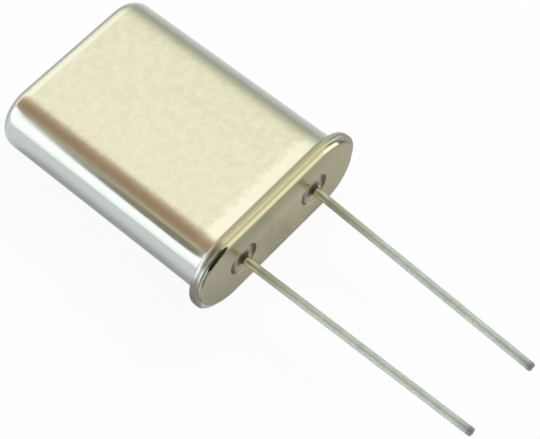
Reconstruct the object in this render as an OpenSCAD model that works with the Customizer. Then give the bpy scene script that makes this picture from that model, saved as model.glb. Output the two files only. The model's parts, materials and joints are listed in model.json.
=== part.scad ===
// Two-lead quartz crystal unit in a tall drawn metal can.
// Every piece is drawn standing: the leads point down, the can stands above the base plate, and the
// underside of the flange is at height 0. The laid() module then lays the whole unit down on the
// can's broad side, the way it comes to rest on a table, with the leads pointing along +X.

/* [Can] */
// Width of the can across its rounded sides
can_w = 9.92; // [9.6:0.02:10.4]
// Depth of the can between its flat faces
can_d = 3.7; // [3.4:0.02:4]
// Height of the can's closed end above the underside of the flange
can_h = 13.46; // [12.4:0.02:16]
// Thickness of the drawn sheet
can_wall = 0.22; // [0.15:0.01:0.3]
// Outer radius of the edge round the closed end
can_edge_r = 0.7; // [0.4:0.05:1.2]
// Radius of the flare between the can's wall and its flange
flare_r = 0.22; // [0.1:0.01:0.24]

/* [Base plate] */
// Width of the flange across its rounded ends
flange_w = 11.05; // [10.9:0.05:12]
// Depth of the flange
flange_d = 4.65; // [4.55:0.05:5.4]
// Thickness of the base plate's own flange
flange_t = 0.2; // [0.15:0.01:0.4]
// Radius on the free edges of both flanges
flange_edge_r = 0.04; // [0.02:0.01:0.07]
// How far the raised face stands out below the flange
face_h = 0.21; // [0.19:0.01:0.5]
// How far the raised face is set in from the edge of the flange
face_inset = 0.29; // [0.2:0.01:0.5]
// Radius on the edge and at the foot of the raised face
face_edge_r = 0.09; // [0.05:0.01:0.1]
// How far the base plate's boss reaches up into the can
boss_h = 0.4; // [0.2:0.05:0.8]
// Gap between the boss and the inside of the can
boss_gap = 0.08; // [0.05:0.01:0.2]
// Radius on the upper edge of the boss
boss_edge_r = 0.15; // [0.05:0.01:0.19]

/* [Leads] */
// Diameter of the lead wire
lead_d = 0.43; // [0.38:0.01:0.5]
// Distance between the two leads where they leave the base plate
lead_pitch = 4.88; // [4.5:0.01:5.2]
// Length of a lead below the raised face, measured along the wire
lead_l = 13.3; // [3:0.1:20]
// How far a lead's inner post stands up above the boss
post_h = 1.4; // [1:0.1:1.8]
// Chamfer at the cut end of the wire
lead_chamfer = 0.05; // [0.02:0.01:0.1]
// Lean of the left lead from straight, in degrees
left_lean = 0.7; // [0.6:0.05:5]
// Direction in which the left lead leans: 0 is towards the right lead and 270 towards the front
left_heading = 263; // [180:1:360]
// Lean of the right lead from straight, in degrees
right_lean = 2.85; // [0.6:0.05:5]
// Direction in which the right lead leans: 180 is towards the left lead and 270 towards the front
right_heading = 164; // [90:1:270]
// Length of straight wire between the raised face and the bend
bend_drop = 0.35; // [0.2:0.05:2]
// Radius of the bend at the middle of the wire
bend_r = 2; // [1:0.1:5]

/* [Glass seals] */
// Diameter of a glass seal
seal_d = 1.75; // [1.5:0.05:2]
// How far the glass lies back from the faces of the base plate
seal_recess = 0.05; // [0.02:0.01:0.1]
// Radius of the glass meniscus that climbs the wire
meniscus_r = 0.22; // [0.1:0.01:0.4]

/* [Quartz blank] */
// Space between the rim of the round blank and the inside of the can's rounded sides
rim_gap = 0.74; // [0.6:0.02:0.9]
// Thickness of the quartz blank
blank_t = 0.2; // [0.15:0.01:0.3]
// Space between the boss and the lowest point of the blank
blank_lift = 2; // [1.9:0.1:2.4]
// Diameter of the round electrode in the middle of the blank
electrode_d = 4.6; // [3:0.1:6]
// Thickness of the electrode's metal film
electrode_t = 0.02; // [0.02:0.01:0.04]
// Width of the film tab that runs from the electrode to the rim
tab_w = 1; // [0.6:0.1:1.4]

/* [Clips] */
// Thickness of the spring strip
clip_t = 0.15; // [0.1:0.01:0.2]
// Width of the spring strip
clip_w = 1.2; // [1:0.1:1.6]
// How far the clip takes in the rim of the blank
clip_bite = 0.2; // [0.18:0.01:0.3]
// How deep the clip is pressed into the side of the post where it is welded on
weld_bite = 0.04; // [0.02:0.01:0.08]
// Gap between the blank and the edges of the slot that holds it
slot_gap = 0.05; // [0.04:0.01:0.1]
// Length of strip below and above the slot
slot_land = 0.6; // [0.4:0.1:0.8]
// Radius of the dab of conductive adhesive
dab_r = 0.5; // [0.4:0.05:0.6]

/* [Hidden] */
$fn = 96;
// Overlap that lets one solid cut cleanly through another
cut = 0.1;

can_r = can_d / 2;
can_span = can_w / 2 - can_r;
inner_r = can_r - can_wall;
foot_z = flange_t;
lip_top = foot_z + can_wall;
flange_r = flange_d / 2;
flange_span = flange_w / 2 - flange_r;
boss_top = flange_t + boss_h;

lead_r = lead_d / 2;
lead_x = lead_pitch / 2;
post_top = boss_top + post_h;
bend_z = -face_h - bend_drop;

blank_r = can_w / 2 - can_wall - rim_gap;
blank_z = boss_top + blank_lift + blank_r;
film_y = blank_t / 2 + electrode_t;
slot_w = 2 * (film_y + slot_gap);

// The blank's rim passes through the inner face of a clip at grip_x, over half a slot's height
grip_x = blank_r - clip_bite;
grip_h = sqrt(blank_r * blank_r - grip_x * grip_x);
slot_h = 2 * (grip_h + slot_gap);
clip_foot_x = lead_x + lead_r - weld_bite;
clip_foot_z = boss_top + meniscus_r;
clip_grip_z = blank_z - slot_h / 2 - slot_land;
clip_top_z = blank_z + slot_h / 2 + slot_land;
// The strip leans outwards between the post's top and its upright stretch
clip_slant = atan2(grip_x - clip_foot_x, clip_grip_z - post_top);
knee_shift = clip_t * tan(clip_slant / 2);

// Lying down, the unit rests on the edge of the can's flange and on the rounded edge of the closed end.
// rest_run and rest_drop lead from that flange edge to the axis of the round edge.
rest_run = can_h - can_edge_r - (lip_top - flange_edge_r);
rest_drop = (flange_r - flange_edge_r) - (can_r - can_edge_r);
lie_angle = acos((can_edge_r - flange_edge_r) / norm([rest_run, rest_drop])) - atan2(rest_run, rest_drop);
// Where the laid unit's bottom and its middle along X come out, before it is moved to the origin
flange_dip = (flange_r - flange_edge_r) * cos(lie_angle);
lie_bottom = -(lip_top - flange_edge_r) * sin(lie_angle) - flange_dip - flange_edge_r;
tip_reach = max(lead_reach(left_lean, left_heading), lead_reach(right_lean, right_heading));
top_reach = (can_h - can_edge_r) * cos(lie_angle) + (can_r - can_edge_r) * sin(lie_angle) + can_edge_r;
lie_middle = (tip_reach - top_reach) / 2;

// Length of wire left below a bend that turns it by lean degrees
function below_bend(lean) = lead_l - bend_drop - bend_r * lean * PI / 180;

// How far a lead's tip reaches along X once it is laid down. Its cut end is a flat disc of radius end_r,
// and as the disc isn't quite square to X, part of its rim reaches further than its middle.
function lead_reach(lean, heading) =
  let (end_r = lead_r - lead_chamfer,
       across = bend_r * (1 - cos(lean)) + below_bend(lean) * sin(lean),
       down = bend_r * sin(lean) + below_bend(lean) * cos(lean) - bend_z,
       facing = cos(lean) * cos(lie_angle) + sin(lean) * sin(heading) * sin(lie_angle))
  down * cos(lie_angle) + across * sin(heading) * sin(lie_angle) + end_r * sqrt(1 - facing * facing);

// Lays a standing piece down as the finished unit lies
module laid() {
  translate([-lie_middle, 0, -lie_bottom])
    rotate([0, -lie_angle, 0])
      rotate([-90, 0, 90])
        children();
}

// Sweeps a half section round an oval. The section is drawn at its distance from the oval's spine,
// and the spine runs straight for span to each side of the middle.
module oval_sweep(span) {
  for (side = [-1, 1])
    translate([side * span, 0, 0])
      rotate([0, 0, -90 * side])
        rotate_extrude(angle = 180)
          children();
  for (turn = [0, 180])
    rotate([0, 0, turn])
      translate([span, 0, 0])
        rotate([90, 0, -90])
          linear_extrude(height = 2 * span)
            children();
}

// Half section of a plate that reaches out to r between heights low and high, its outer corners rounded
module plate_section(r, low, high, low_corner_r = 0, high_corner_r = 0) {
  difference() {
    translate([0, low])
      square([r, high - low]);
    if (low_corner_r > 0)
      translate([r, low])
        corner_waste(low_corner_r);
    if (high_corner_r > 0)
      translate([r, high])
        mirror([0, 1])
          corner_waste(high_corner_r);
  }
}

// What rounding takes off a lower outer corner that lies at the origin
module corner_waste(r) {
  difference() {
    translate([-r, -cut])
      square(r + cut);
    translate([-r, r])
      circle(r = r);
  }
}

// What a fillet adds in the corner between a wall at the origin and the plate that it stands on
module fillet_section(r) {
  difference() {
    translate([-cut, -cut])
      square(r + cut);
    translate([r, r])
      circle(r = r);
  }
}

// The can: one drawn sheet, with a round-edged closed end, a flared foot and an out-turned flange
module can() {
  color([0.9, 0.88, 0.77])
    laid()
      difference() {
        union() {
          oval_sweep(can_span)
            plate_section(can_r, flange_t, can_h, high_corner_r = can_edge_r);
          oval_sweep(can_span)
            translate([can_r, lip_top])
              fillet_section(flare_r);
          oval_sweep(flange_span)
            plate_section(flange_r, flange_t, lip_top, high_corner_r = flange_edge_r);
        }
        oval_sweep(can_span)
          plate_section(inner_r, flange_t - cut, can_h - can_wall, high_corner_r = can_edge_r - can_wall);
        oval_sweep(can_span)
          translate([inner_r, flange_t])
            fillet_section(flare_r + can_wall);
      }
}

// The base plate: a flange to match the can's, with a raised face below it, a boss above it, two seal holes
module base_plate() {
  color([0.61, 0.6, 0.51])
    laid()
      difference() {
        union() {
          oval_sweep(flange_span)
            plate_section(flange_r, 0, flange_t, low_corner_r = flange_edge_r);
          oval_sweep(flange_span)
            plate_section(flange_r - face_inset, -face_h, flange_t / 2, low_corner_r = face_edge_r);
          oval_sweep(flange_span)
            translate([flange_r - face_inset, 0])
              mirror([0, 1])
                fillet_section(face_edge_r);
          oval_sweep(can_span)
            plate_section(inner_r - boss_gap, flange_t / 2, boss_top, high_corner_r = boss_edge_r);
        }
        for (side = [-1, 1])
          translate([side * lead_x, 0, -face_h - cut])
            cylinder(r = seal_d / 2, h = face_h + boss_top + 2 * cut);
      }
}

// A glass seal fills its hole and climbs the wire a little on both sides
module glass_seal(side) {
  glass_low = -face_h + seal_recess;
  glass_high = boss_top - seal_recess;
  color([0.2, 0.19, 0.17])
    laid()
      translate([side * lead_x, 0, 0])
        difference() {
          rotate_extrude() {
            translate([0, glass_low])
              square([seal_d / 2, glass_high - glass_low]);
            translate([lead_r, glass_high])
              fillet_section(meniscus_r);
            translate([lead_r, glass_low])
              mirror([0, 1])
                fillet_section(meniscus_r);
          }
          translate([0, 0, glass_low - meniscus_r - cut])
            cylinder(r = lead_r, h = glass_high - glass_low + 2 * (meniscus_r + cut));
        }
}

// A straight wire that hangs down from the origin for length l, with the edge of its end chamfered
module hanging_wire(l) {
  mirror([0, 0, 1]) {
    cylinder(r = lead_r, h = l - lead_chamfer);
    translate([0, 0, l - lead_chamfer])
      cylinder(r1 = lead_r, r2 = lead_r - lead_chamfer, h = lead_chamfer);
  }
}

// A lead runs straight through its seal, bends a little below it, and runs straight on to its end.
// It leans from straight by lean degrees, in the direction of heading.
module lead(side, lean, heading) {
  color([0.64, 0.67, 0.62])
    laid()
      translate([side * lead_x, 0, bend_z])
        rotate([0, 0, heading]) {
          cylinder(r = lead_r, h = post_top - bend_z);
          translate([bend_r, 0, 0])
            rotate([90, 0, 0])
              rotate([0, 0, 180])
                rotate_extrude(angle = lean)
                  translate([bend_r, 0])
                    circle(r = lead_r);
          translate([bend_r * (1 - cos(lean)), 0, -bend_r * sin(lean)])
            rotate([0, -lean, 0])
              hanging_wire(below_bend(lean));
        }
}

// Mirrors what is drawn for the right side to the side asked for: -1 is left and 1 is right
module on_side(side) {
  mirror([side > 0 ? 0 : 1, 0, 0])
    children();
}

// A flat strip runs up the outer side of the post, out to the blank's rim and up past it
module clip_strip() {
  difference() {
    translate([0, clip_w / 2, 0])
      rotate([90, 0, 0])
        linear_extrude(height = clip_w)
          polygon([
            [clip_foot_x, clip_foot_z],
            [clip_foot_x + clip_t, clip_foot_z],
            [clip_foot_x + clip_t, post_top - knee_shift],
            [grip_x + clip_t, clip_grip_z - knee_shift],
            [grip_x + clip_t, clip_top_z],
            [grip_x, clip_top_z],
            [grip_x, clip_grip_z],
            [clip_foot_x, post_top]
          ]);
    translate([grip_x - cut, -slot_w / 2, blank_z - slot_h / 2])
      cube([clip_t + 2 * cut, slot_w, slot_h]);
    translate([lead_x, 0, clip_foot_z - cut])
      cylinder(r = lead_r, h = post_top - clip_foot_z + 2 * cut);
  }
}

module clip(side) {
  color([0.75, 0.74, 0.7])
    laid()
      on_side(side)
        clip_strip();
}

// Stands a flat shape up in the plane of the blank, centred on it, filling depths from y to y + t
module in_blank_plane(y, t) {
  translate([0, y + t, blank_z])
    rotate([90, 0, 0])
      linear_extrude(height = t)
        children();
}

module blank_disc() {
  in_blank_plane(-blank_t / 2, blank_t)
    circle(r = blank_r);
}

module quartz_blank() {
  color([0.85, 0.88, 0.88])
    laid()
      blank_disc();
}

// A metal film on the front (face = -1) or back (face = 1) of the blank.
// It is a round spot with a tab that runs out to the right rim.
module film(face) {
  in_blank_plane(face > 0 ? blank_t / 2 : -film_y, electrode_t) {
    circle(d = electrode_d);
    intersection() {
      translate([0, -tab_w / 2])
        square([blank_r, tab_w]);
      circle(r = blank_r);
    }
  }
}

// The front electrode's tab runs to the left rim and the back electrode's to the right rim
module electrode(face) {
  color([0.8, 0.8, 0.78])
    laid()
      on_side(face)
        film(face);
}

// A dab of adhesive fills the clip's slot round the blank's rim, over the tab that ends there
module adhesive_dab(side) {
  color([0.55, 0.54, 0.5])
    laid()
      on_side(side)
        difference() {
          translate([grip_x + clip_t / 2, 0, blank_z])
            sphere(r = dab_r);
          clip_strip();
          blank_disc();
          film(side);
        }
}

can();
base_plate();
glass_seal(-1);  // left_glass_seal
glass_seal(1);  // right_glass_seal
lead(-1, left_lean, left_heading);  // left_lead
lead(1, right_lean, right_heading);  // right_lead
clip(-1);  // left_clip
clip(1);  // right_clip
quartz_blank();
electrode(-1);  // front_electrode
electrode(1);  // back_electrode
adhesive_dab(-1);  // left_adhesive_dab
adhesive_dab(1);  // right_adhesive_dab
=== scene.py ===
# %% [markdown]
# # A quartz crystal unit, lying on a table
# This small part sets the pace of a clock circuit. A thin disc of quartz hangs on two spring clips inside
# a drawn metal can. The can is welded to a pressed base plate, and two wires leave the plate through glass.
# The solid model is already made and measured. Here it gets its finish: smooth skins in place of the
# solids that show, a material for each metal and glass, a floor, soft light and a camera.
# The first step is to load the solid model. Everything is in metres, and nothing of it is moved.

import json
import math

import bmesh
import bpy
from mathutils import Matrix, Vector


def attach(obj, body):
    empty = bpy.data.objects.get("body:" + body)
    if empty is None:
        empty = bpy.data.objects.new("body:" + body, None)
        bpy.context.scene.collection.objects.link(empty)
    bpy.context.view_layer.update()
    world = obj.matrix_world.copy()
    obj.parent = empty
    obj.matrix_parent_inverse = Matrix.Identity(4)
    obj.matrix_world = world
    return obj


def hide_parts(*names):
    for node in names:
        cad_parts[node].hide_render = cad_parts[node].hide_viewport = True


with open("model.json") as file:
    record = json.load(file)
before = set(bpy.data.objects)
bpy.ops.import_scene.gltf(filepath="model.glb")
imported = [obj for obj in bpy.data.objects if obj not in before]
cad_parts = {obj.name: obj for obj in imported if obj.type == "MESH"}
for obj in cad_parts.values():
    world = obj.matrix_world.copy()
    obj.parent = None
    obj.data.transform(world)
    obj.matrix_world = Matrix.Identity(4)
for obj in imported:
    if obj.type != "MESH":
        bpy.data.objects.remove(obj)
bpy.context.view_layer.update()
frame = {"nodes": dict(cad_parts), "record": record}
MM = 0.001
print("solid pieces:", ", ".join(sorted(frame["nodes"])))

# %% [markdown]
# The unit is drawn standing up, as its maker would draw it: leads pointing down, the can above, and zero
# height where the base plate's flange starts. All sizes are in millimetres and are the solid model's own.
# An oval can is two half circles joined by straight sides, so each oval needs only two numbers: how far
# the two centres lie from the middle (its span) and the radius round them.

# %% Sizes of the can, the plate, the seals and the wires
can_radius, can_span, can_height = 1.85, 3.11, 13.46
sheet, can_edge, flare = 0.22, 0.7, 0.22
flange_radius, flange_span, flange_thick, rim_edge = 2.325, 3.2, 0.2, 0.04
face_height, face_inset = 0.21, 0.29
boss_height, boss_gap, boss_edge = 0.4, 0.08, 0.15
wire_radius, wire_pitch, wire_length, post_height = 0.215, 4.88, 13.3, 1.4
seal_radius, seal_recess, glass_climb = 0.875, 0.05, 0.22
bend_drop, bend_radius = 0.35, 2.0

lip_top = flange_thick + sheet
boss_top = flange_thick + boss_height
inner_radius = can_radius - sheet
print("the can is", 2 * (can_span + can_radius), "by", 2 * can_radius, "mm and", can_height, "mm high")

# %% [markdown]
# The finished unit doesn't stand, it lies on its broad side. It rests on two lines: the rim of the flange
# and the round edge of the closed end. The flange is wider, so the unit is tilted by about two degrees.
# The angle follows from where those two edges are, so it is worked out and not typed in. One matrix then
# lays any standing piece down into its place, and no piece has to be moved by hand. How far the unit is
# shifted along the table comes from the record, which says where the middle of the plate's face is.

# %% Lay standing pieces down
run = can_height - can_edge - (lip_top - rim_edge)
drop = (flange_radius - rim_edge) - (can_radius - can_edge)
tilt = math.acos((can_edge - rim_edge) / math.hypot(run, drop)) - math.atan2(run, drop)
lowest = -(lip_top - rim_edge) * math.sin(tilt) - (flange_radius - rim_edge) * math.cos(tilt) - rim_edge
board_face = next(m for m in frame["record"]["mounts"] if m["name"] == "board_face")
along = board_face["pos_m"][0] / MM - face_height * math.cos(tilt)
quarter = math.pi / 2
fallen = Matrix.Rotation(quarter, 4, "Z") @ Matrix.Rotation(-quarter, 4, "X")
turned = Matrix.Rotation(-tilt, 4, "Y") @ fallen
laid = Matrix.Scale(MM, 4) @ Matrix.Translation((along, 0, -lowest)) @ turned
print("the unit lies tilted by", round(math.degrees(tilt), 3), "degrees")

# %% [markdown]
# Most of this unit is one idea: a profile carried round an oval. A press does the same with a round tool
# and a straight stretch between. A modelling program could do it with a curve and a bevel, or with a screw
# modifier, but both leave the mesh's rows uneven where the sides go from straight to round. Here each
# point of the profile makes one full ring of vertices, and neighbouring rings are joined by four-sided
# faces. The rows then run exactly round and along the can, which is what shiny metal needs: any
# unevenness in the rows would show as a wobble in its reflections.

# %% Sweep a profile round an oval
TURN_STEPS = 40
SIDE_STEPS = 20


def ring(span, radius, height):
    """The points of one loop round an oval, starting at the right end's front."""
    points = []
    for side in (1, -1):
        for i in range(TURN_STEPS + 1):
            a = math.pi * (i / TURN_STEPS - 0.5)
            x, y = span + radius * math.cos(a), radius * math.sin(a)
            points.append(Vector((side * x, side * y, height)))
        for i in range(1, SIDE_STEPS):
            x = span * (1 - 2 * i / SIDE_STEPS)
            points.append(Vector((side * x, side * radius, height)))
    return points


def arc(span, radius, height, bend, start, stop, steps, stretch=1):
    """Profile points round a bend whose centre is at that radius and height, between two angles.

    A stretch above 1 makes the bend an oval one that is taller than it is wide."""
    made = []
    for i in range(steps + 1):
        a = math.radians(start + (stop - start) * i / steps)
        made.append((span, radius + bend * math.cos(a), height + stretch * bend * math.sin(a)))
    return made


def straight(first, last, steps):
    """Profile points on a straight line, without its two ends."""
    return [tuple(a + (b - a) * i / steps for a, b in zip(first, last)) for i in range(1, steps)]


def sweep(mesh, profile):
    """Rings for every profile point, joined by four-sided faces. Returns the rings."""
    rings = [[mesh.verts.new(p) for p in ring(*point)] for point in profile]
    for low, high in zip(rings, rings[1:]):
        for i in range(len(low)):
            j = (i + 1) % len(low)
            mesh.faces.new((low[i], low[j], high[j], high[i]))
    return rings


print("one ring has", len(ring(1, 1, 0)), "points")

# %% [markdown]
# Every finished skin goes the same way: its doubled points are merged, its faces are turned outwards, it
# is laid down and shaded smooth. Then it is hung on the unit's root body, and the solid that it stands for
# is hidden. Edges sharper than the given angle stay crisp. The stamped and drawn edges here all have a real
# radius, so hardly any edge needs that.

# %% Turn a mesh into a finished piece
def finish_piece(mesh, name, stands_for=None, crisp=50, second=None):
    """Lays a standing mesh down and makes it a piece. Faces chosen by second get the second finish."""
    bmesh.ops.remove_doubles(mesh, verts=mesh.verts, dist=1e-4)
    bmesh.ops.recalc_face_normals(mesh, faces=mesh.faces)
    if second:
        for face in mesh.faces:
            face.material_index = int(second(face.calc_center_median()))
    mesh.transform(laid)
    data = bpy.data.meshes.new(name)
    mesh.to_mesh(data)
    mesh.free()
    data.shade_smooth()
    data.set_sharp_from_angle(angle=math.radians(crisp))
    piece = bpy.data.objects.new(name, data)
    bpy.context.scene.collection.objects.link(piece)
    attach(piece, "root")
    if stands_for:
        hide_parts(stands_for)
    print(name, "has", len(data.polygons), "faces")
    return piece


# %% [markdown]
# The can starts as a flat disc of nickel silver and is drawn into an oval cup, closed at one end. Its foot
# flares out into a thin flange that is welded to the base plate. The profile below follows one sheet: up
# the outside from the closed end's middle, round the edge, down the side, out along the flared foot and
# back up the inside. A solid block with rounded edges would look the same from afar, but the thin lip and
# its flare are what tells a drawn can from a cast one. Two things happen at the foot: the sheet swells by
# a few hundredths of a millimetre where the punch let go of it, and the lip's edge was rolled over by the
# trimming tool, so it is an oval bend, taller than it is wide. Its lowest corner is rounded too, so that a
# fine groove is left where the two flanges meet.

# %% The drawn can
SEAM = 0.02
lip_roll, roll_stretch = 0.1, 1.8
rim_reach, rim_top = 0.075, 0.01
swell, swell_start = 0.035, 1.6


def can_profile():
    outside = [(can_span, r, can_height) for r in (0, 0.4, 0.8)]
    outside += arc(can_span, can_radius - can_edge, can_height - can_edge, can_edge, 90, 0, 12)
    side_top = outside[-1]
    side_foot = (can_span, can_radius, lip_top + flare)
    for span, radius, height in straight(side_top, side_foot, 36):
        towards_foot = max(0, (swell_start - height) / (swell_start - side_foot[2]))
        outside.append((span, radius + swell * towards_foot ** 2, height))
    outside += arc(can_span, can_radius + swell + flare, lip_top + flare, flare, 180, 270, 8)
    roll_centre = lip_top - lip_roll * roll_stretch
    outside += arc(flange_span, flange_radius - lip_roll, roll_centre, lip_roll, 90, 0, 8, roll_stretch)
    outside += arc(flange_span, flange_radius - SEAM, flange_thick + SEAM, SEAM, 0, -90, 4)
    under_flare = flare + sheet
    inside = arc(can_span, inner_radius + under_flare, flange_thick + under_flare, under_flare, 270, 180, 6)
    inside += arc(can_span, can_radius - can_edge, can_height - can_edge, can_edge - sheet, 0, 90, 6)
    inside += [(can_span, 0, can_height - sheet)]
    return outside + inside


def from_spine(point, span):
    """How far a point lies from the line between an oval's two centres."""
    beyond = max(0.0, abs(point.x) - span)
    return math.hypot(beyond, point.y)


def on_rim(point):
    """True on the cut edge that runs round the two flanges."""
    return from_spine(point, flange_span) > flange_radius - rim_reach and point.z < lip_top - rim_top


can_mesh = bmesh.new()
sweep(can_mesh, can_profile())
can_skin = finish_piece(can_mesh, "can_skin", "can", second=on_rim)

# %% [markdown]
# Welding squeezes a little metal out of the joint. It shows as a hair-fine bead in the groove between the
# two flanges. It is a sweep as well: a tiny round section carried round the flange, sunk a little below
# its rim, so that it never stands proud.

# %% The bead of the weld
weld_mesh = bmesh.new()
bead = 0.014
sweep(weld_mesh, arc(flange_span, flange_radius - SEAM, flange_thick, bead, -180, 180, 8))
weld_bead = finish_piece(weld_mesh, "weld_bead")

# %% [markdown]
# The base plate is pressed from iron-nickel-cobalt sheet. It has a flange to match the can's, a boss that
# centres the can from inside, and a raised face on the side of the leads. The face's wall leans inwards,
# so that the part lets go of its die, and ends in a soft crest. The raised face is flat with two holes,
# which a sweep can't make. So the sweep stops at the border of the flat, each hole gets its own short
# round sweep with a rounded edge, and the flat between them is filled with triangles. A flat filled like
# this shades perfectly, because all its points share one direction.

# %% The pressed base plate
HOLE_STEPS = 48
hole_edge, hole_border = 0.05, 0.05
face_border, boss_border = 0.06, 0.3
under_roll, fillet, crest, wall_lean = 0.04, 0.03, 0.14, 18
wall_shift = 0.03
wall = flange_radius - face_inset + wall_shift


def circle_points(x, radius, height):
    turn = [2 * math.pi * i / HOLE_STEPS for i in range(HOLE_STEPS)]
    return [Vector((x + radius * math.cos(a), radius * math.sin(a), height)) for a in turn]


def lathe(mesh, x, profile):
    """Like sweep, but round one point: a turned shape at that place across the unit."""
    rings = [[mesh.verts.new(p) for p in circle_points(x, r, z)] for r, z in profile]
    for low, high in zip(rings, rings[1:]):
        for i in range(HOLE_STEPS):
            j = (i + 1) % HOLE_STEPS
            mesh.faces.new((low[i], low[j], high[j], high[i]))
    return rings


def fill_flat(mesh, loops):
    """Fills the flat between an outer loop and its holes with triangles."""
    mesh.edges.ensure_lookup_table()
    edges = []
    for loop in loops:
        edges += [mesh.edges.get((a, b)) for a, b in zip(loop, loop[1:] + loop[:1])]
    return bmesh.ops.triangle_fill(mesh, edges=edges, use_beauty=True, use_dissolve=False)["geom"]


def plate_profile():
    top = [(can_span, inner_radius - boss_gap - boss_border, boss_top)]
    top += arc(can_span, inner_radius - boss_gap - boss_edge, boss_top - boss_edge, boss_edge, 90, 0, 5)
    top += [(can_span, inner_radius - boss_gap, flange_thick)]
    edge = arc(flange_span, flange_radius - SEAM, flange_thick - SEAM, SEAM, 90, 0, 4)
    edge += arc(flange_span, flange_radius - under_roll, under_roll, under_roll, 0, -90, 8)
    lean = math.radians(wall_lean)
    rise = face_height - (fillet + crest) * (1 - math.sin(lean))
    crest_at = wall + fillet - (fillet + crest) * math.cos(lean) - rise * math.tan(lean)
    face = arc(flange_span, wall + fillet, -fillet, fillet, 90, 180 - wall_lean, 6)
    face += arc(flange_span, crest_at, crest - face_height, crest, -wall_lean, -90, 8)
    return top + edge + face + [(flange_span, crest_at - face_border, -face_height)]


plate_mesh = bmesh.new()
plate_rings = sweep(plate_mesh, plate_profile())
hole_loops = {"top": [], "face": []}
hole_profile = [(seal_radius + hole_edge + hole_border, -face_height)]
for a in [math.radians(d) for d in (90, 75, 60, 45, 30, 15, 0)]:
    out, down = 1 - math.cos(a), 1 - math.sin(a)
    hole_profile.append((seal_radius + hole_edge * out, -face_height + hole_edge * down))
hole_profile.append((seal_radius, boss_top))
for side in (-1, 1):
    rows = lathe(plate_mesh, side * wire_pitch / 2, hole_profile)
    hole_loops["face"].append(rows[0])
    hole_loops["top"].append(rows[-1])
fill_flat(plate_mesh, [plate_rings[0]] + hole_loops["top"])
fill_flat(plate_mesh, [plate_rings[-1]] + hole_loops["face"])
base_skin = finish_piece(plate_mesh, "base_skin", "base_plate", second=on_rim)

# %% [markdown]
# Each wire leaves the plate through a bead of glass. The glass is melted in place, so it climbs the wire a
# little and sags between the wire and the hole. Turning one profile round the wire gives exactly that
# shape: a steep curve at the wire, a shallow dish, and a rim that ends just inside the edge of the hole.

# %% The two glass seals
def seal_profile():
    low, high = -face_height + seal_recess, boss_top - seal_recess
    dish = 0.03
    outer = []
    for a in [math.radians(d) for d in (0, 15, 30, 45, 60, 75, 90)]:
        climbed = glass_climb * (1 - math.sin(a))
        outer.append((wire_radius + glass_climb * (1 - math.cos(a)), low + dish - climbed))
    for radius, depth in [(0.56, 1.1), (0.68, 1.0), (0.78, 0.6), (0.84, 0.2), (seal_radius, 0)]:
        outer.append((radius, low + dish * depth))
    inner = [(r, high + low - z) for r, z in outer[::-1]]
    return outer + inner


for name, side in (("left", -1), ("right", 1)):
    glass_mesh = bmesh.new()
    lathe(glass_mesh, side * wire_pitch / 2, seal_profile())
    finish_piece(glass_mesh, name + "_seal_glass", name + "_glass_seal")

# %% [markdown]
# The leads are one round wire each: straight up through the glass, a small bend just below it, and then
# straight to a cut end. The right one leans towards its neighbour by nearly three degrees, as leads do
# once they have been handled. The left one leans by 0.7 degrees because the solid model's does; the real
# one is straighter. A curve with a round bevel would do for the wire but would leave its end blunt. A
# tube of rings gives the end the slightly rounded shoulder that the cutter leaves.

# %% The two leads
WIRE_STEPS = 32


def wire_path(side, lean, heading):
    """Centre points and directions from the top of the post down to the cut end."""
    down, sideways = Vector((0, 0, -1)), Matrix.Rotation(math.radians(heading), 3, "Z") @ Vector((1, 0, 0))
    start = Vector((side * wire_pitch / 2, 0, boss_top + post_height))
    bend_z = -face_height - bend_drop
    path = [(start, down), (Vector((start.x, 0, bend_z)), down)]
    for i in range(1, 5):
        a = math.radians(lean) * i / 4
        centre = path[1][0] + sideways * bend_radius * (1 - math.cos(a)) + down * bend_radius * math.sin(a)
        path.append((centre, down * math.cos(a) + sideways * math.sin(a)))
    end = wire_length - bend_drop - bend_radius * math.radians(lean)
    centre, heading_down = path[-1]
    path += [(centre + heading_down * end * i / 12, heading_down) for i in range(1, 13)]
    return path


def wire_rings(mesh, path):
    """A tube along the path, whose last stretch narrows to the rounded shoulder of the cut."""
    tip, direction = path.pop()
    cut_end = [(-0.12, 1.0), (-0.07, 0.99), (-0.035, 0.95), (-0.01, 0.86), (0.0, 0.76)]
    cut_end += [(-0.006, 0.4), (-0.012, 0.0)]
    stations = [(centre, d, 1.0) for centre, d in path]
    stations += [(tip + direction * back, direction, width) for back, width in cut_end]
    across = Vector((0, 1, 0))
    turn = [2 * math.pi * i / WIRE_STEPS for i in range(WIRE_STEPS)]
    rings = []
    for centre, d, width in stations:
        u = across.cross(d).normalized()
        v = d.cross(u)
        spokes = [(u * math.cos(a) + v * math.sin(a)) * wire_radius * width for a in turn]
        rings.append([mesh.verts.new(centre + spoke) for spoke in spokes])
    for low, high in zip(rings, rings[1:]):
        for i in range(WIRE_STEPS):
            j = (i + 1) % WIRE_STEPS
            mesh.faces.new((low[i], low[j], high[j], high[i]))
    mesh.faces.new(rings[0])


LEADS = (("left", -1, 0.7, 263), ("right", 1, 2.85, 164))
for name, side, lean, heading in LEADS:
    wire_mesh = bmesh.new()
    wire_rings(wire_mesh, wire_path(side, lean, heading))
    finish_piece(wire_mesh, name + "_lead_wire", name + "_lead")

# %% [markdown]
# Materials come next. A material is a set of nodes, and its sums are much easier to read as sums. The
# class below wraps one output of a node, so that "1 - rounded" or "grain * 0.2" makes the Math node for it.
# Everything that isn't a sum comes from one method: it is told the kind of node, its settings, and the
# values or links for its sockets.

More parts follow.
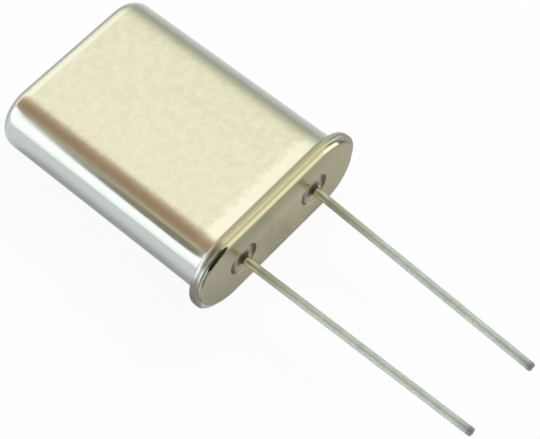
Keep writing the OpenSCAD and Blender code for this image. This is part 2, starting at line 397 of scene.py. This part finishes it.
# %% A small language for shader sums
class Link:
    """One output of a node, which can be used in sums."""

    def __init__(self, nodes, socket):
        self.nodes, self.socket = nodes, socket

    def sum(self, operation, first, second):
        return self.nodes.add("ShaderNodeMath", {"operation": operation}, {0: first, 1: second})

    def __add__(self, other):
        return self.sum("ADD", self, other)

    def __radd__(self, other):
        return self.sum("ADD", other, self)

    def __sub__(self, other):
        return self.sum("SUBTRACT", self, other)

    def __rsub__(self, other):
        return self.sum("SUBTRACT", other, self)

    def __mul__(self, other):
        return self.sum("MULTIPLY", self, other)

    def __rmul__(self, other):
        return self.sum("MULTIPLY", other, self)

    def __abs__(self):
        return self.nodes.add("ShaderNodeMath", {"operation": "ABSOLUTE"}, {0: self})


class Nodes:
    """The nodes of one material, or of the world."""

    def __init__(self, owner):
        owner.use_nodes = True
        self.owner, self.tree = owner, owner.node_tree
        self.tree.nodes.clear()

    def add(self, kind, settings=None, sockets=None, out=0):
        """Adds a node: settings first, then socket values or links. Gives back one of its outputs."""
        node = self.tree.nodes.new(kind)
        for key, value in (settings or {}).items():
            if key == "stops":
                ramp = node.color_ramp.elements
                while len(ramp) < len(value):
                    ramp.new(1.0)
                for stop, (position, colour) in zip(ramp, value):
                    stop.position, stop.color = position, colour
            else:
                setattr(node, key, value)
        for key, value in (sockets or {}).items():
            if isinstance(value, Link):
                self.tree.links.new(value.socket, node.inputs[key])
            else:
                node.inputs[key].default_value = value
        return Link(self, node.outputs[out]) if node.outputs else None


print("a Link knows +, -, * and abs, and adds the node for each")

# %% [markdown]
# Three helpers are used by every metal here. Places on the unit are read in millimetres, so that a grain
# of "0.2 mm" can be written as such. A mask turns a distance into a soft step between zero and one. And
# two colours are blended by a mask.

# %% Places, masks and blends
def place_in_mm(nodes, stretch=(1, 1, 1)):
    """Where a point lies on the unit, in millimetres, with each direction stretched."""
    raw = nodes.add("ShaderNodeTexCoord", out="Object")
    scale = [s / MM for s in stretch]
    return nodes.add("ShaderNodeVectorMath", {"operation": "MULTIPLY"}, {0: raw, 1: scale})


def measured_along(nodes, direction):
    """How far a point lies along one direction of the standing unit, in millimetres."""
    way = turned.to_3x3() @ Vector(direction)
    dot = {"operation": "DOT_PRODUCT"}
    raw = nodes.add("ShaderNodeVectorMath", dot, {0: place_in_mm(nodes), 1: way}, out="Value")
    return raw - way.dot(Vector((along, 0, -lowest)))


def height_on_unit(nodes):
    """0 where the base plate's flange starts, 13.46 at the can's closed end, less than 0 along the wires."""
    return measured_along(nodes, (0, 0, 1))


def soft_step(nodes, value, start, stop):
    """0 below start, 1 above stop, and smooth in between."""
    smooth = {"interpolation_type": "SMOOTHSTEP"}
    return nodes.add("ShaderNodeMapRange", smooth, {"Value": value, "From Min": start, "From Max": stop})


def blend(nodes, mask, low, high):
    """The colour low where the mask is 0 and high where it is 1."""
    return nodes.add("ShaderNodeMix", {"data_type": "RGBA"}, {0: mask, 6: low, 7: high}, out=2)


def grain(nodes, size, detail=2.0, stretch=(1, 1, 1), rough=0.5):
    """Noise from 0 to 1 whose patches are about that many millimetres across."""
    return nodes.add("ShaderNodeTexNoise", None, {
        "Vector": place_in_mm(nodes, stretch), "Scale": 1 / size, "Detail": detail, "Roughness": rough})


def metal(nodes, colour, roughness, height, depth, finish_name):
    """A bare metal: colour and roughness that vary over it, and a bump that is depth millimetres deep."""
    bump = nodes.add("ShaderNodeBump", None, {"Height": height, "Strength": 1.0, "Distance": depth * MM})
    shader = nodes.add("ShaderNodeBsdfPrincipled", None, {
        "Base Color": colour, "Metallic": 1.0, "Roughness": roughness, "Normal": bump})
    nodes.add("ShaderNodeOutputMaterial", None, {"Surface": shader})
    print("made the finish", finish_name)


# %% [markdown]
# The places and shades of the light and dark bands below were judged, and the reasons given for them are
# likely ones. The can's broad sides are satin and warm: they keep the fine grain of the rolled sheet under a
# thin nickel plate. The rounded sides were pressed against the drawing die as the cup was pulled through it,
# which burnished them: they are smoother and carry fine lines that run the way of the draw. Their greyer,
# cooler colour is partly that burnish and partly a painted reflection of the cool room beside them. One
# mask, made from the distance across the can, turns one finish into the other. Soft patches in the grain
# keep the broad side from looking like paint. Four more masks follow the can's height, and they paint light:
# a painted highlight on the foot and on the line just before the closed end, and painted shade on the closed
# end itself and in the corner above the flange.

# %% The finish of the can
def rgba(red, green, blue):
    return (red, green, blue, 1.0)


def axis(nodes, name):
    """One coordinate of a place, in millimetres."""
    return nodes.add("ShaderNodeSeparateXYZ", None, {0: place_in_mm(nodes)}, name)


can_finish = bpy.data.materials.new("drawn_nickel_sheet")
nodes = Nodes(can_finish)
across = abs(axis(nodes, "Y"))
rounded = soft_step(nodes, across, 3.2, 4.3)
up = height_on_unit(nodes)
# The closed end's rounded edge gets painted shade: a darker grey band.
closed_end_shade = soft_step(nodes, up, 12.93, 13.15)
# The line just before the closed end gets a painted highlight.
bend_line_highlight = soft_step(nodes, up, 12.6, 12.8)
patches = grain(nodes, 0.4, 4.0, (1, 0.85, 1), 0.6)
fine = grain(nodes, 0.25, 3.0, rough=0.6)
# The foot gets a painted highlight: its colour turns bright cream along the can's lowest stretch.
foot = 1 - soft_step(nodes, up + 0.9 * (fine - 0.5), 1.05, 1.6)
# The corner above the flange gets painted shade.
corner_shade = 1 - soft_step(nodes, up, 0.5, 0.66)
lines = grain(nodes, 0.12, 3.0, (0.06, 1, 1))
patchy = soft_step(nodes, patches, 0.3, 0.7)
satin = blend(nodes, patchy, rgba(0.77, 0.74, 0.56), rgba(0.85, 0.82, 0.62))
# The rounded sides' grey-green is partly their burnish and partly a painted cool reflection.
burnished_with_cool_reflection = blend(nodes, lines, rgba(0.62, 0.67, 0.64), rgba(0.67, 0.71, 0.68))
colour = blend(nodes, foot, satin, rgba(0.96, 0.93, 0.74))
colour = blend(nodes, bend_line_highlight, colour, rgba(0.95, 0.94, 0.79))
colour = blend(nodes, rounded, colour, burnished_with_cool_reflection)
colour = blend(nodes, closed_end_shade, colour, rgba(0.48, 0.49, 0.45))
colour = blend(nodes, corner_shade, colour, rgba(0.42, 0.40, 0.33))
roughness = (1 - rounded) * (0.2 + 0.1 * patches) + rounded * (0.1 + 0.05 * lines) + 0.1 * closed_end_shade
height = (1 - rounded) * fine + rounded * 0.2 * lines
metal(nodes, colour, roughness, height, 0.006, "drawn nickel sheet")
can_skin.data.materials.append(can_finish)

# %% [markdown]
# The base plate is nickel plated as well but was never polished by a die. It went through the furnace that
# melted the glass, so its face is duller and greyer, with faint tarnish in soft patches, and part of that
# darkness is painted shade. The face also gets painted shade on its left and right parts and towards its
# front edge. The wall of the raised face and the flange get a warm painted highlight along the straight
# sides.
# Round the two ends they get painted shade, with a short painted highlight on the flange's left end and
# darker painted shade at the flange's two tips.

# %% The finish of the base plate and the weld
base_finish = bpy.data.materials.new("furnace_dulled_plate")
nodes = Nodes(base_finish)
patches = grain(nodes, 0.9, 4.0)
fine = grain(nodes, 0.07, 2.0)
up = height_on_unit(nodes)
aside = axis(nodes, "Y")
across = abs(aside)
raised = soft_step(nodes, up, -0.195, -0.1)
flange = soft_step(nodes, up, -0.04, -0.01)
rounded = soft_step(nodes, across, 3.3, 3.9)
# A short painted highlight on the flange's left end.
left_end_highlight = soft_step(nodes, aside, -4.2, -4.6) * soft_step(nodes, aside, -5.3, -5.1)
dull_face_and_shade = blend(nodes, soft_step(nodes, patches, 0.35, 0.65), rgba(0.48, 0.46, 0.29), rgba(0.54, 0.51, 0.37))
# Painted shade: the face is darker on its right part and a little darker on its left part.
dull_face_and_shade = blend(nodes, soft_step(nodes, aside, 1.2, 3.6), dull_face_and_shade, rgba(0.42, 0.40, 0.27))
dull_face_and_shade = blend(nodes, soft_step(nodes, aside, -1.5, -3.5), dull_face_and_shade, rgba(0.46, 0.43, 0.31))
# Painted shade: the face gets darker towards its front edge.
front_edge_shade = soft_step(nodes, measured_along(nodes, (0, -1, 0)), 0.7, 1.7)
dull_face_and_shade = blend(nodes, front_edge_shade * (1 - rounded), dull_face_and_shade, rgba(0.40, 0.38, 0.24))
# The wall gets a warm painted highlight along the straight sides and dark painted shade round the two ends.
wall_end_shade = soft_step(nodes, across, 4.2, 4.45)
wall_highlight_and_shade = blend(nodes, wall_end_shade, rgba(0.80, 0.75, 0.48), rgba(0.20, 0.19, 0.14))
wall_highlight_and_shade = blend(nodes, soft_step(nodes, across, 5.0, 5.2), wall_highlight_and_shade, dull_face_and_shade)
# The flange gets a warm painted highlight along the straight sides and painted shade round the ends, darker
# at the two tips.
flange_highlight_and_shade = blend(nodes, rounded, rgba(0.74, 0.68, 0.44), rgba(0.38, 0.38, 0.32))
flange_highlight_and_shade = blend(nodes, soft_step(nodes, aside, -5.1, -5.35), flange_highlight_and_shade, rgba(0.30, 0.30, 0.26))
flange_highlight_and_shade = blend(nodes, left_end_highlight, flange_highlight_and_shade, rgba(0.72, 0.76, 0.72))
flange_highlight_and_shade = blend(nodes, soft_step(nodes, aside, 4.3, 5.0), flange_highlight_and_shade, rgba(0.34, 0.31, 0.22))
colour = blend(nodes, raised, dull_face_and_shade, wall_highlight_and_shade)
colour = blend(nodes, flange, colour, flange_highlight_and_shade)
roughness = (1 - raised) * (0.24 + 0.14 * patches) + 0.12 * raised
metal(nodes, colour, roughness, fine, 0.0015, "furnace dulled plate")
base_skin.data.materials.append(base_finish)
weld_bead.data.materials.append(base_finish)

# %% [markdown]
# The rim of the two flanges is where the strip was cut. A sheared edge is rougher and darker than the rolled
# faces beside it, and has short lines across it where the cutter dragged. It also gets painted shade that
# darkens it towards the can. Round the ends its colour is painted reflection: a bright upper part and a thin
# bright line along its lower edge with a grey band between them, all warmer on the right end, and the far
# tips darkest.

# %% The finish of the cut rim
rim_finish = bpy.data.materials.new("sheared_rim")
nodes = Nodes(rim_finish)
drag = grain(nodes, 0.08, 3.0, (0.3, 1, 1))
up = height_on_unit(nodes)
# Painted shade: the rim darkens towards the can.
shade_towards_can = soft_step(nodes, up, 0.0, 0.26)
aside = axis(nodes, "Y")
across = abs(aside)
rounded = soft_step(nodes, across, 3.3, 4.1)
right_half = soft_step(nodes, aside, -1, 1)
right_tip = soft_step(nodes, aside, 4.3, 5.0)
# Painted reflections round the ends: a bright upper part, a grey lower band, a bright line along the lower
# edge and dark far tips.
upper = blend(nodes, right_half, rgba(0.74, 0.79, 0.76), rgba(0.74, 0.73, 0.60))
lower = blend(nodes, right_half, rgba(0.33, 0.34, 0.32), rgba(0.56, 0.54, 0.42))
lower = blend(nodes, right_tip, lower, rgba(0.32, 0.29, 0.20))
lower_edge_highlight = soft_step(nodes, up, 0.1, 0.04)
end_reflections = blend(nodes, soft_step(nodes, up, 0.16, 0.26), lower, upper)
end_reflections = blend(nodes, lower_edge_highlight * (1 - right_tip), end_reflections, rgba(0.74, 0.79, 0.75))
end_reflections = blend(nodes, soft_step(nodes, across, 5.0, 5.35), end_reflections, rgba(0.27, 0.26, 0.23))
colour = blend(nodes, shade_towards_can, rgba(0.71, 0.67, 0.44), rgba(0.45, 0.43, 0.29))
colour = blend(nodes, rounded, colour, end_reflections)
colour = blend(nodes, 0.25 * drag, colour, rgba(0.30, 0.29, 0.22))
metal(nodes, colour, 0.2 + 0.1 * drag, drag, 0.002, "sheared rim")
for piece in (can_skin, base_skin):
    piece.data.materials.append(rim_finish)

# %% [markdown]
# The sealing glass is a glossy bead. It is nearly opaque in real life, so it needs no see-through shader.
# It is nearly black where it wets the wire and at its two sides. Between them it is milky, with swirls where
# small bubbles were drawn out, and its top is faintly wavy.

# %% The finish of the glass
glass_finish = bpy.data.materials.new("dark_edged_sealing_glass")
nodes = Nodes(glass_finish)
swirl = grain(nodes, 0.35, 3.0)
beside = abs(axis(nodes, "Y")) - wire_pitch / 2
above = measured_along(nodes, (0, -1, 0))
from_wire = nodes.add("ShaderNodeMath", {"operation": "SQRT"}, {0: beside * beside + above * above})
sideways = soft_step(nodes, beside * beside + 0.15 * swirl, 0.22, 0.55)
clear = soft_step(nodes, from_wire + 0.1 * swirl, 0.32, 0.62) * (1 - 0.95 * sideways)
# Nearly black round the wire and at the glass's two sides, milky between them.
dark_edged = blend(nodes, swirl, rgba(0.05, 0.04, 0.015), rgba(0.09, 0.075, 0.03))
milky = blend(nodes, swirl, rgba(0.48, 0.43, 0.33), rgba(0.60, 0.54, 0.41))
bump = nodes.add("ShaderNodeBump", None, {"Height": swirl, "Strength": 1.0, "Distance": 0.01 * MM})
glass = nodes.add("ShaderNodeBsdfPrincipled", None, {
    "Base Color": blend(nodes, clear, dark_edged, milky), "Roughness": 0.15 + 0.1 * swirl,
    "IOR": 1.52, "Specular IOR Level": 0.15, "Normal": bump})
nodes.add("ShaderNodeOutputMaterial", None, {"Surface": glass})
for name in ("left", "right"):
    bpy.data.objects[name + "_seal_glass"].data.materials.append(glass_finish)
print("made the finish stained sealing glass")

# %% [markdown]
# The wires are tinned. The tin is greyer and softer than nickel, with drawing lines along the wire and a
# few dull spots. Near the plate the furnace has tinted it olive. Right at the glass it is smoother, with a
# warm painted highlight. Towards the cut end the coat is rubbed and greyer, and the sheared end itself is
# bare and dark.

# %% The finish of the wires
wire_finish = bpy.data.materials.new("tinned_wire")
nodes = Nodes(wire_finish)
lines = grain(nodes, 0.1, 3.0, (0.08, 1, 1))
spots = grain(nodes, 0.5, 3.0)
up = height_on_unit(nodes)
root = soft_step(nodes, up, -1.4, -0.7)
cut_end = 1 - soft_step(nodes, up, -13.3, -12.4)
colour = blend(nodes, soft_step(nodes, spots, 0.3, 0.7), rgba(0.64, 0.705, 0.65), rgba(0.74, 0.805, 0.755))
colour = blend(nodes, soft_step(nodes, up, -5, -1.5), colour, rgba(0.58, 0.60, 0.47))
# Painted highlight: the wire is warm and bright right at the glass.
colour = blend(nodes, root, colour, rgba(0.86, 0.82, 0.60))
colour = blend(nodes, 0.6 * cut_end, colour, rgba(0.45, 0.52, 0.48))
colour = blend(nodes, 1 - soft_step(nodes, up, -13.4, -13.15), colour, rgba(0.36, 0.39, 0.37))
metal(nodes, colour, 0.58 + 0.12 * spots - 0.25 * root, lines, 0.003, "tinned wire")
for name in ("left", "right"):
    bpy.data.objects[name + "_lead_wire"].data.materials.append(wire_finish)

# %% [markdown]
# The pieces inside the can can't be seen, but they are part of the unit and get their own finishes on the
# solids as they are: bright spring strip, finely lapped quartz, silver film and silver-filled adhesive.

# %% The finishes inside the can
def dress(names, material):
    """Gives solids of the model a material in place of the plain one that they came with."""
    for name in names:
        data = frame["nodes"][name].data
        data.materials.clear()
        data.materials.append(material)


strip_finish = bpy.data.materials.new("bright_spring_strip")
nodes = Nodes(strip_finish)
rolled = grain(nodes, 0.08, 2.0, (1, 0.1, 1))
colour = blend(nodes, rolled, rgba(0.60, 0.59, 0.55), rgba(0.72, 0.71, 0.66))
metal(nodes, colour, 0.18 + 0.12 * rolled, rolled, 0.002, "bright spring strip")
dress(["left_clip", "right_clip"], strip_finish)

film_finish = bpy.data.materials.new("silver_film")
nodes = Nodes(film_finish)
haze = grain(nodes, 0.6, 3.0)
colour = blend(nodes, haze, rgba(0.80, 0.79, 0.76), rgba(0.90, 0.89, 0.86))
metal(nodes, colour, 0.12 + 0.12 * haze, haze, 0.0005, "silver film")
dress(["front_electrode", "back_electrode"], film_finish)

quartz_finish = bpy.data.materials.new("lapped_quartz")
nodes = Nodes(quartz_finish)
lapping = grain(nodes, 0.05, 2.0)
quartz = nodes.add("ShaderNodeBsdfPrincipled", None, {
    "Base Color": blend(nodes, lapping, rgba(0.72, 0.77, 0.77), rgba(0.82, 0.86, 0.86)),
    "Roughness": 0.3 + 0.15 * lapping, "IOR": 1.54, "Alpha": 0.55 + 0.1 * lapping})
nodes.add("ShaderNodeOutputMaterial", None, {"Surface": quartz})
dress(["quartz_blank"], quartz_finish)

dab_finish = bpy.data.materials.new("silver_filled_adhesive")
nodes = Nodes(dab_finish)
flakes = grain(nodes, 0.06, 3.0)
dab = nodes.add("ShaderNodeBsdfPrincipled", None, {
    "Base Color": blend(nodes, flakes, rgba(0.30, 0.29, 0.27), rgba(0.52, 0.51, 0.48)),
    "Metallic": 0.6 * flakes, "Roughness": 0.6 - 0.2 * flakes})
nodes.add("ShaderNodeOutputMaterial", None, {"Surface": dab})
dress(["left_adhesive_dab", "right_adhesive_dab"], dab_finish)

# %% [markdown]
# Bare metal has hardly any colour of its own: it shows the room. So the room is built like a small product
# studio. The floor is white paper and the sky is white. Both also shine a little by themselves, but only
# where the camera or a mirror looks at them. That keeps the background white without putting more light on
# the unit, and the floor keeps a soft shadow.

# %% The floor and the sky
def shade(nodes, value, shades):
    """A colour that runs through the given shades as the value grows. None is brighter than white."""
    low, high = shades[0][0], shades[-1][0]
    stops = [((at - low) / (high - low), rgba(*colour)) for at, colour in shades]
    placed = nodes.add("ShaderNodeMapRange", None, {"Value": value, "From Min": low, "From Max": high})
    return nodes.add("ShaderNodeValToRGB", {"stops": stops}, {0: placed})


def looked_at(nodes):
    """Two masks: 1 for what the camera sees itself, and 1 for what it sees in a mirror or through glass."""
    seen = nodes.add("ShaderNodeLightPath", out="Is Camera Ray")
    glossy = nodes.add("ShaderNodeLightPath", out="Is Glossy Ray")
    return seen, glossy + nodes.add("ShaderNodeLightPath", out="Is Transmission Ray")


reach = 0.6
floor_data = bpy.data.meshes.new("floor")
floor_corners = [(-reach, -reach, 0), (reach, -reach, 0), (reach, reach, 0), (-reach, reach, 0)]
floor_data.from_pydata(floor_corners, [], [(0, 1, 2, 3)])
floor = bpy.data.objects.new("floor", floor_data)
bpy.context.scene.collection.objects.link(floor)
floor_paint = bpy.data.materials.new("pale_floor")
nodes = Nodes(floor_paint)
seen, mirrored = looked_at(nodes)
# In mirrors the floor gets painted shade: nearly white on the left, darkening to mid grey far to the right.
mirrored_floor_shade = shade(nodes, axis(nodes, "Y"), [
    (-22, (0.97, 0.97, 0.97)), (-8, (0.9, 0.9, 0.9)), (6, (0.83, 0.82, 0.8)), (24, (0.52, 0.51, 0.48))])
floor_colour = blend(nodes, mirrored, rgba(0.9, 0.9, 0.9), mirrored_floor_shade)
pale = nodes.add("ShaderNodeBsdfDiffuse", None, {"Color": floor_colour})
white = nodes.add("ShaderNodeEmission", None, {"Color": rgba(1, 1, 1), "Strength": 1.0})
shown = nodes.add("ShaderNodeMixShader", None, {0: 0.93 * seen + 0.1 * mirrored, 1: pale, 2: white})
nodes.add("ShaderNodeOutputMaterial", None, {"Surface": shown})
floor_data.materials.append(floor_paint)

world = bpy.data.worlds.new("white_room")
bpy.context.scene.world = world
nodes = Nodes(world)
seen, mirrored = looked_at(nodes)
dim = nodes.add("ShaderNodeBackground", None, {"Color": rgba(1, 1, 1), "Strength": 0.5})
bright = nodes.add("ShaderNodeBackground", None, {"Color": rgba(1, 1, 1), "Strength": 1.0})
sky = nodes.add("ShaderNodeMixShader", None, {0: seen + mirrored, 1: dim, 2: bright})
nodes.add("ShaderNodeOutputWorld", None, {"Surface": sky})
print("the floor is", 2 * reach, "m across")

# %% [markdown]
# The can's rounded sides mirror a whole arc of the room, from the floor on one side to the floor on the
# other. So an arch of paper stands over the unit like a tunnel, and its shade changes with the angle from
# straight overhead: brown to the left, nearly white on top, grey down the right. A low window shines in
# from the left, under a dark frame. These papers are only there to be mirrored. The camera doesn't see
# them, and they put no light on the floor and no shadow either. One helper bends a strip over the unit.

# %% The papers that the metal mirrors
def paper(name, corners, faces):
    """A sheet in the room that only mirrors see. Gives back its nodes, for its shade."""
    data = bpy.data.meshes.new(name)
    data.from_pydata([Vector(c) * MM for c in corners], [], faces)
    made = bpy.data.objects.new(name, data)
    bpy.context.scene.collection.objects.link(made)
    for kind in ("camera", "diffuse", "shadow", "transmission", "volume_scatter"):
        setattr(made, "visible_" + kind, False)
    data.materials.append(bpy.data.materials.new(name))
    return Nodes(data.materials[0])


def glow(nodes, value, shades):
    """Makes a paper glow in the shades given for its values, which may be brighter than white."""
    strongest = max(max(colour) for _, colour in shades)
    dimmed = shade(nodes, value, [(at, [c / strongest for c in colour]) for at, colour in shades])
    light = nodes.add("ShaderNodeEmission", None, {"Color": dimmed, "Strength": strongest})
    nodes.add("ShaderNodeOutputMaterial", None, {"Surface": light})
    print("a paper with", len(shades), "shades")


def bow(radius, first, last, near, far):
    """Corners and faces of a strip bent over the unit, between two angles and two places along it."""
    corners = []
    for a in range(first, last + 1, 3):
        bent = (radius * math.sin(math.radians(a)), radius * math.cos(math.radians(a)))
        corners += [(near, *bent), (far, *bent)]
    return corners, [(i, i + 1, i + 3, i + 2) for i in range(0, len(corners) - 2, 2)]


arch = paper("paper_arch", *bow(150, -90, 90, -300, 5))
to_side, upwards = axis(arch, "Y"), axis(arch, "Z")
overhead_angle = arch.add("ShaderNodeMath", {"operation": "ARCTAN2"}, {0: to_side, 1: upwards})
glow(arch, overhead_angle * math.degrees(1), [
    (-90, (0.9, 0.9, 0.85)), (-60, (0.46, 0.44, 0.36)), (-45, (0.46, 0.42, 0.33)), (-35, (0.48, 0.38, 0.27)),
    (-22, (0.37, 0.25, 0.17)), (-6, (0.43, 0.32, 0.24)), (3, (0.55, 0.47, 0.41)), (12, (0.93, 0.87, 0.83)),
    (16, (1.25, 1.22, 1.22)), (21, (1.12, 1.11, 1.09)), (26, (0.95, 0.96, 0.92)), (40, (0.91, 0.93, 0.86)),
    (56, (0.69, 0.71, 0.61)), (72, (0.51, 0.51, 0.43)), (90, (0.47, 0.47, 0.40))])

window_edge = [(10, 51), (-50, 51), (-60, 56), (-66, 61), (-71, 67), (-79, 78), (-87, 91), (-102, 110)]
window_corners = [(10, -90, 0)] + [(x, -90, z) for x, z in window_edge] + [(-220, -90, 110), (-220, -90, 0)]
window = paper("low_window", window_corners, [tuple(range(len(window_corners)))])
glow(window, axis(window, "Z"), [
    (0, (1.1, 1.1, 1.1)), (12, (1.4, 1.38, 1.4)), (25, (1.5, 1.46, 1.48)), (120, (1.5, 1.46, 1.48))])
frame_edge = [(10, 45), (-48, 46), (-58, 54), (-64, 88), (-76, 116), (10, 116)]
frame_corners = [(x, -80, z) for x, z in frame_edge]
frame_paper = paper("window_frame", frame_corners, [(0, 1, 2, 3, 4, 5)])
glow(frame_paper, axis(frame_paper, "Z"), [
    (45, (0.28, 0.26, 0.18)), (84, (0.28, 0.26, 0.18)), (94, (0.66, 0.57, 0.4)), (116, (0.6, 0.5, 0.36))])

# %% [markdown]
# Where the camera stands the room is dark, as it is in front of any camera that looks at a lit table. The
# raised face's wall and the flange's left end mirror that side, which gives the thin black crescent there.
# A second window far to the right puts a small white spot on the other end of the same wall. The rest of
# the right side is the arch's own grey.

# %% The dark side and the right window
dark_side = paper("dark_side", *bow(78, -60, 12, 10, 140))
glow(dark_side, axis(dark_side, "Z"), [(0, (0.02, 0.02, 0.01)), (78, (0.02, 0.02, 0.01))])
dark_end = paper("dark_end", [(140, -68, 15), (140, 16, 15), (140, 16, 78), (140, -68, 39)], [(0, 1, 2, 3)])
glow(dark_end, axis(dark_end, "Z"), [(0, (0.02, 0.02, 0.01)), (78, (0.02, 0.02, 0.01))])
right_window = paper("right_window", *bow(140, 33, 84, 8, 80))
glow(right_window, axis(right_window, "Z"), [(0, (1.5, 1.5, 1.5)), (140, (1.6, 1.6, 1.6))])

# %% [markdown]
# One large soft lamp gives the floor its shadow. It stands to the right, opposite the window, so the floor
# under the left side of the can gets darker towards the can, and the metal there mirrors that.

# %% The lamp
lamp_data = bpy.data.lights.new("soft_lamp", "AREA")
lamp_data.shape = "SQUARE"
lamp_data.size = 0.12
lamp_data.energy = 0.28
lamp = bpy.data.objects.new("soft_lamp", lamp_data)
lamp.location = (-0.02, 0.14, 0.15)
lamp.rotation_euler = (-lamp.location).to_track_quat("-Z", "Y").to_euler()
lamp.visible_glossy = False
bpy.context.scene.collection.objects.link(lamp)

# %% [markdown]
# The camera looks down at about 61 degrees from the side of the leads, through a long lens: from close by,
# a short lens would spread the can's far end and make it look wedge shaped.

# %% The camera
azimuth, elevation, roll, distance = math.radians(-47.46), math.radians(60.76), math.radians(-0.89), 81.27
aim = Vector((-0.294, -0.103, 2.33)) * MM
level = math.cos(elevation)
away = Vector((level * math.cos(azimuth), level * math.sin(azimuth), math.sin(elevation)))
camera_data = bpy.data.cameras.new("camera")
camera_data.lens, camera_data.sensor_width, camera_data.clip_start = 116.7, 36, 0.005
camera = bpy.data.objects.new("camera", camera_data)
pointed = away.to_track_quat("Z", "Y").to_matrix().to_4x4()
stood = Matrix.Translation(aim + away * distance * MM)
camera.matrix_world = stood @ pointed @ Matrix.Rotation(roll, 4, "Z")
bpy.context.scene.collection.objects.link(camera)
bpy.context.scene.camera = camera
bpy.context.scene.view_settings.view_transform = "Standard"
print("the camera stands", [round(v / MM, 1) for v in camera.location], "mm from the middle")
